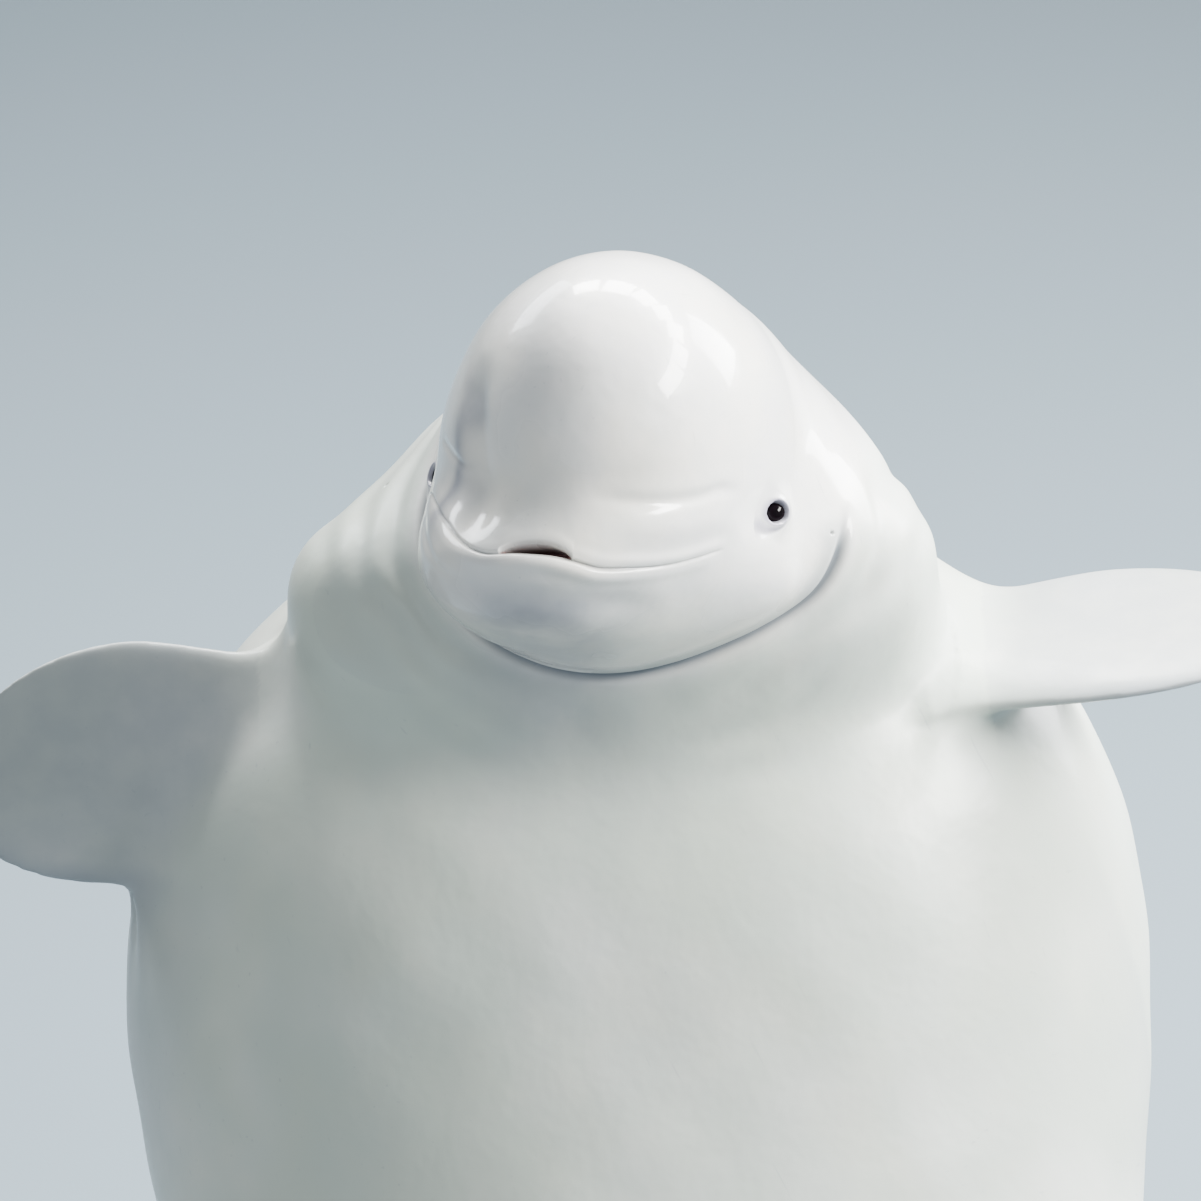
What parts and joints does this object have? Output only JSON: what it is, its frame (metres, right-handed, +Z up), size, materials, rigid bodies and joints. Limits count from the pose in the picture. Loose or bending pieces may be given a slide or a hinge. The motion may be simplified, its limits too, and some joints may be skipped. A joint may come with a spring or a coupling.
{
  "type": "beluga whale",
  "caption": "Life-size beluga whale leaning back with its head bent forward and both flippers spread, held above a flat base by upright rods.",
  "frame": {"origin": "centre of the underside of the display stand's base, on the floor", "axes": "+X is towards the whale's left, +Y runs from its flukes towards the back of its head so that belly and face look towards -Y, and +Z is up"},
  "size_m": [1.3913, 3.3443, 2.6465],
  "materials": {
    "whale_skin": "wet smooth skin, white with a cream and grey cast",
    "eye_dark": "glossy dark eye",
    "stand_paint": "satin dark grey paint",
    "stand_steel": "brushed"
  },
  "bodies": {
    "root": {"head": "whale_skin", "lower_jaw": "whale_skin", "neck": "whale_skin", "trunk": "whale_skin", "tail_stock": "whale_skin", "fluke_left": "whale_skin", "fluke_right": "whale_skin", "flipper_left": "whale_skin", "flipper_right": "whale_skin", "eye_left": "eye_dark", "eye_right": "eye_dark", "stand_base": "stand_paint", "stand_rod_front": "stand_steel", "stand_rod_rear": "stand_steel"}
  },
  "joints": []
}
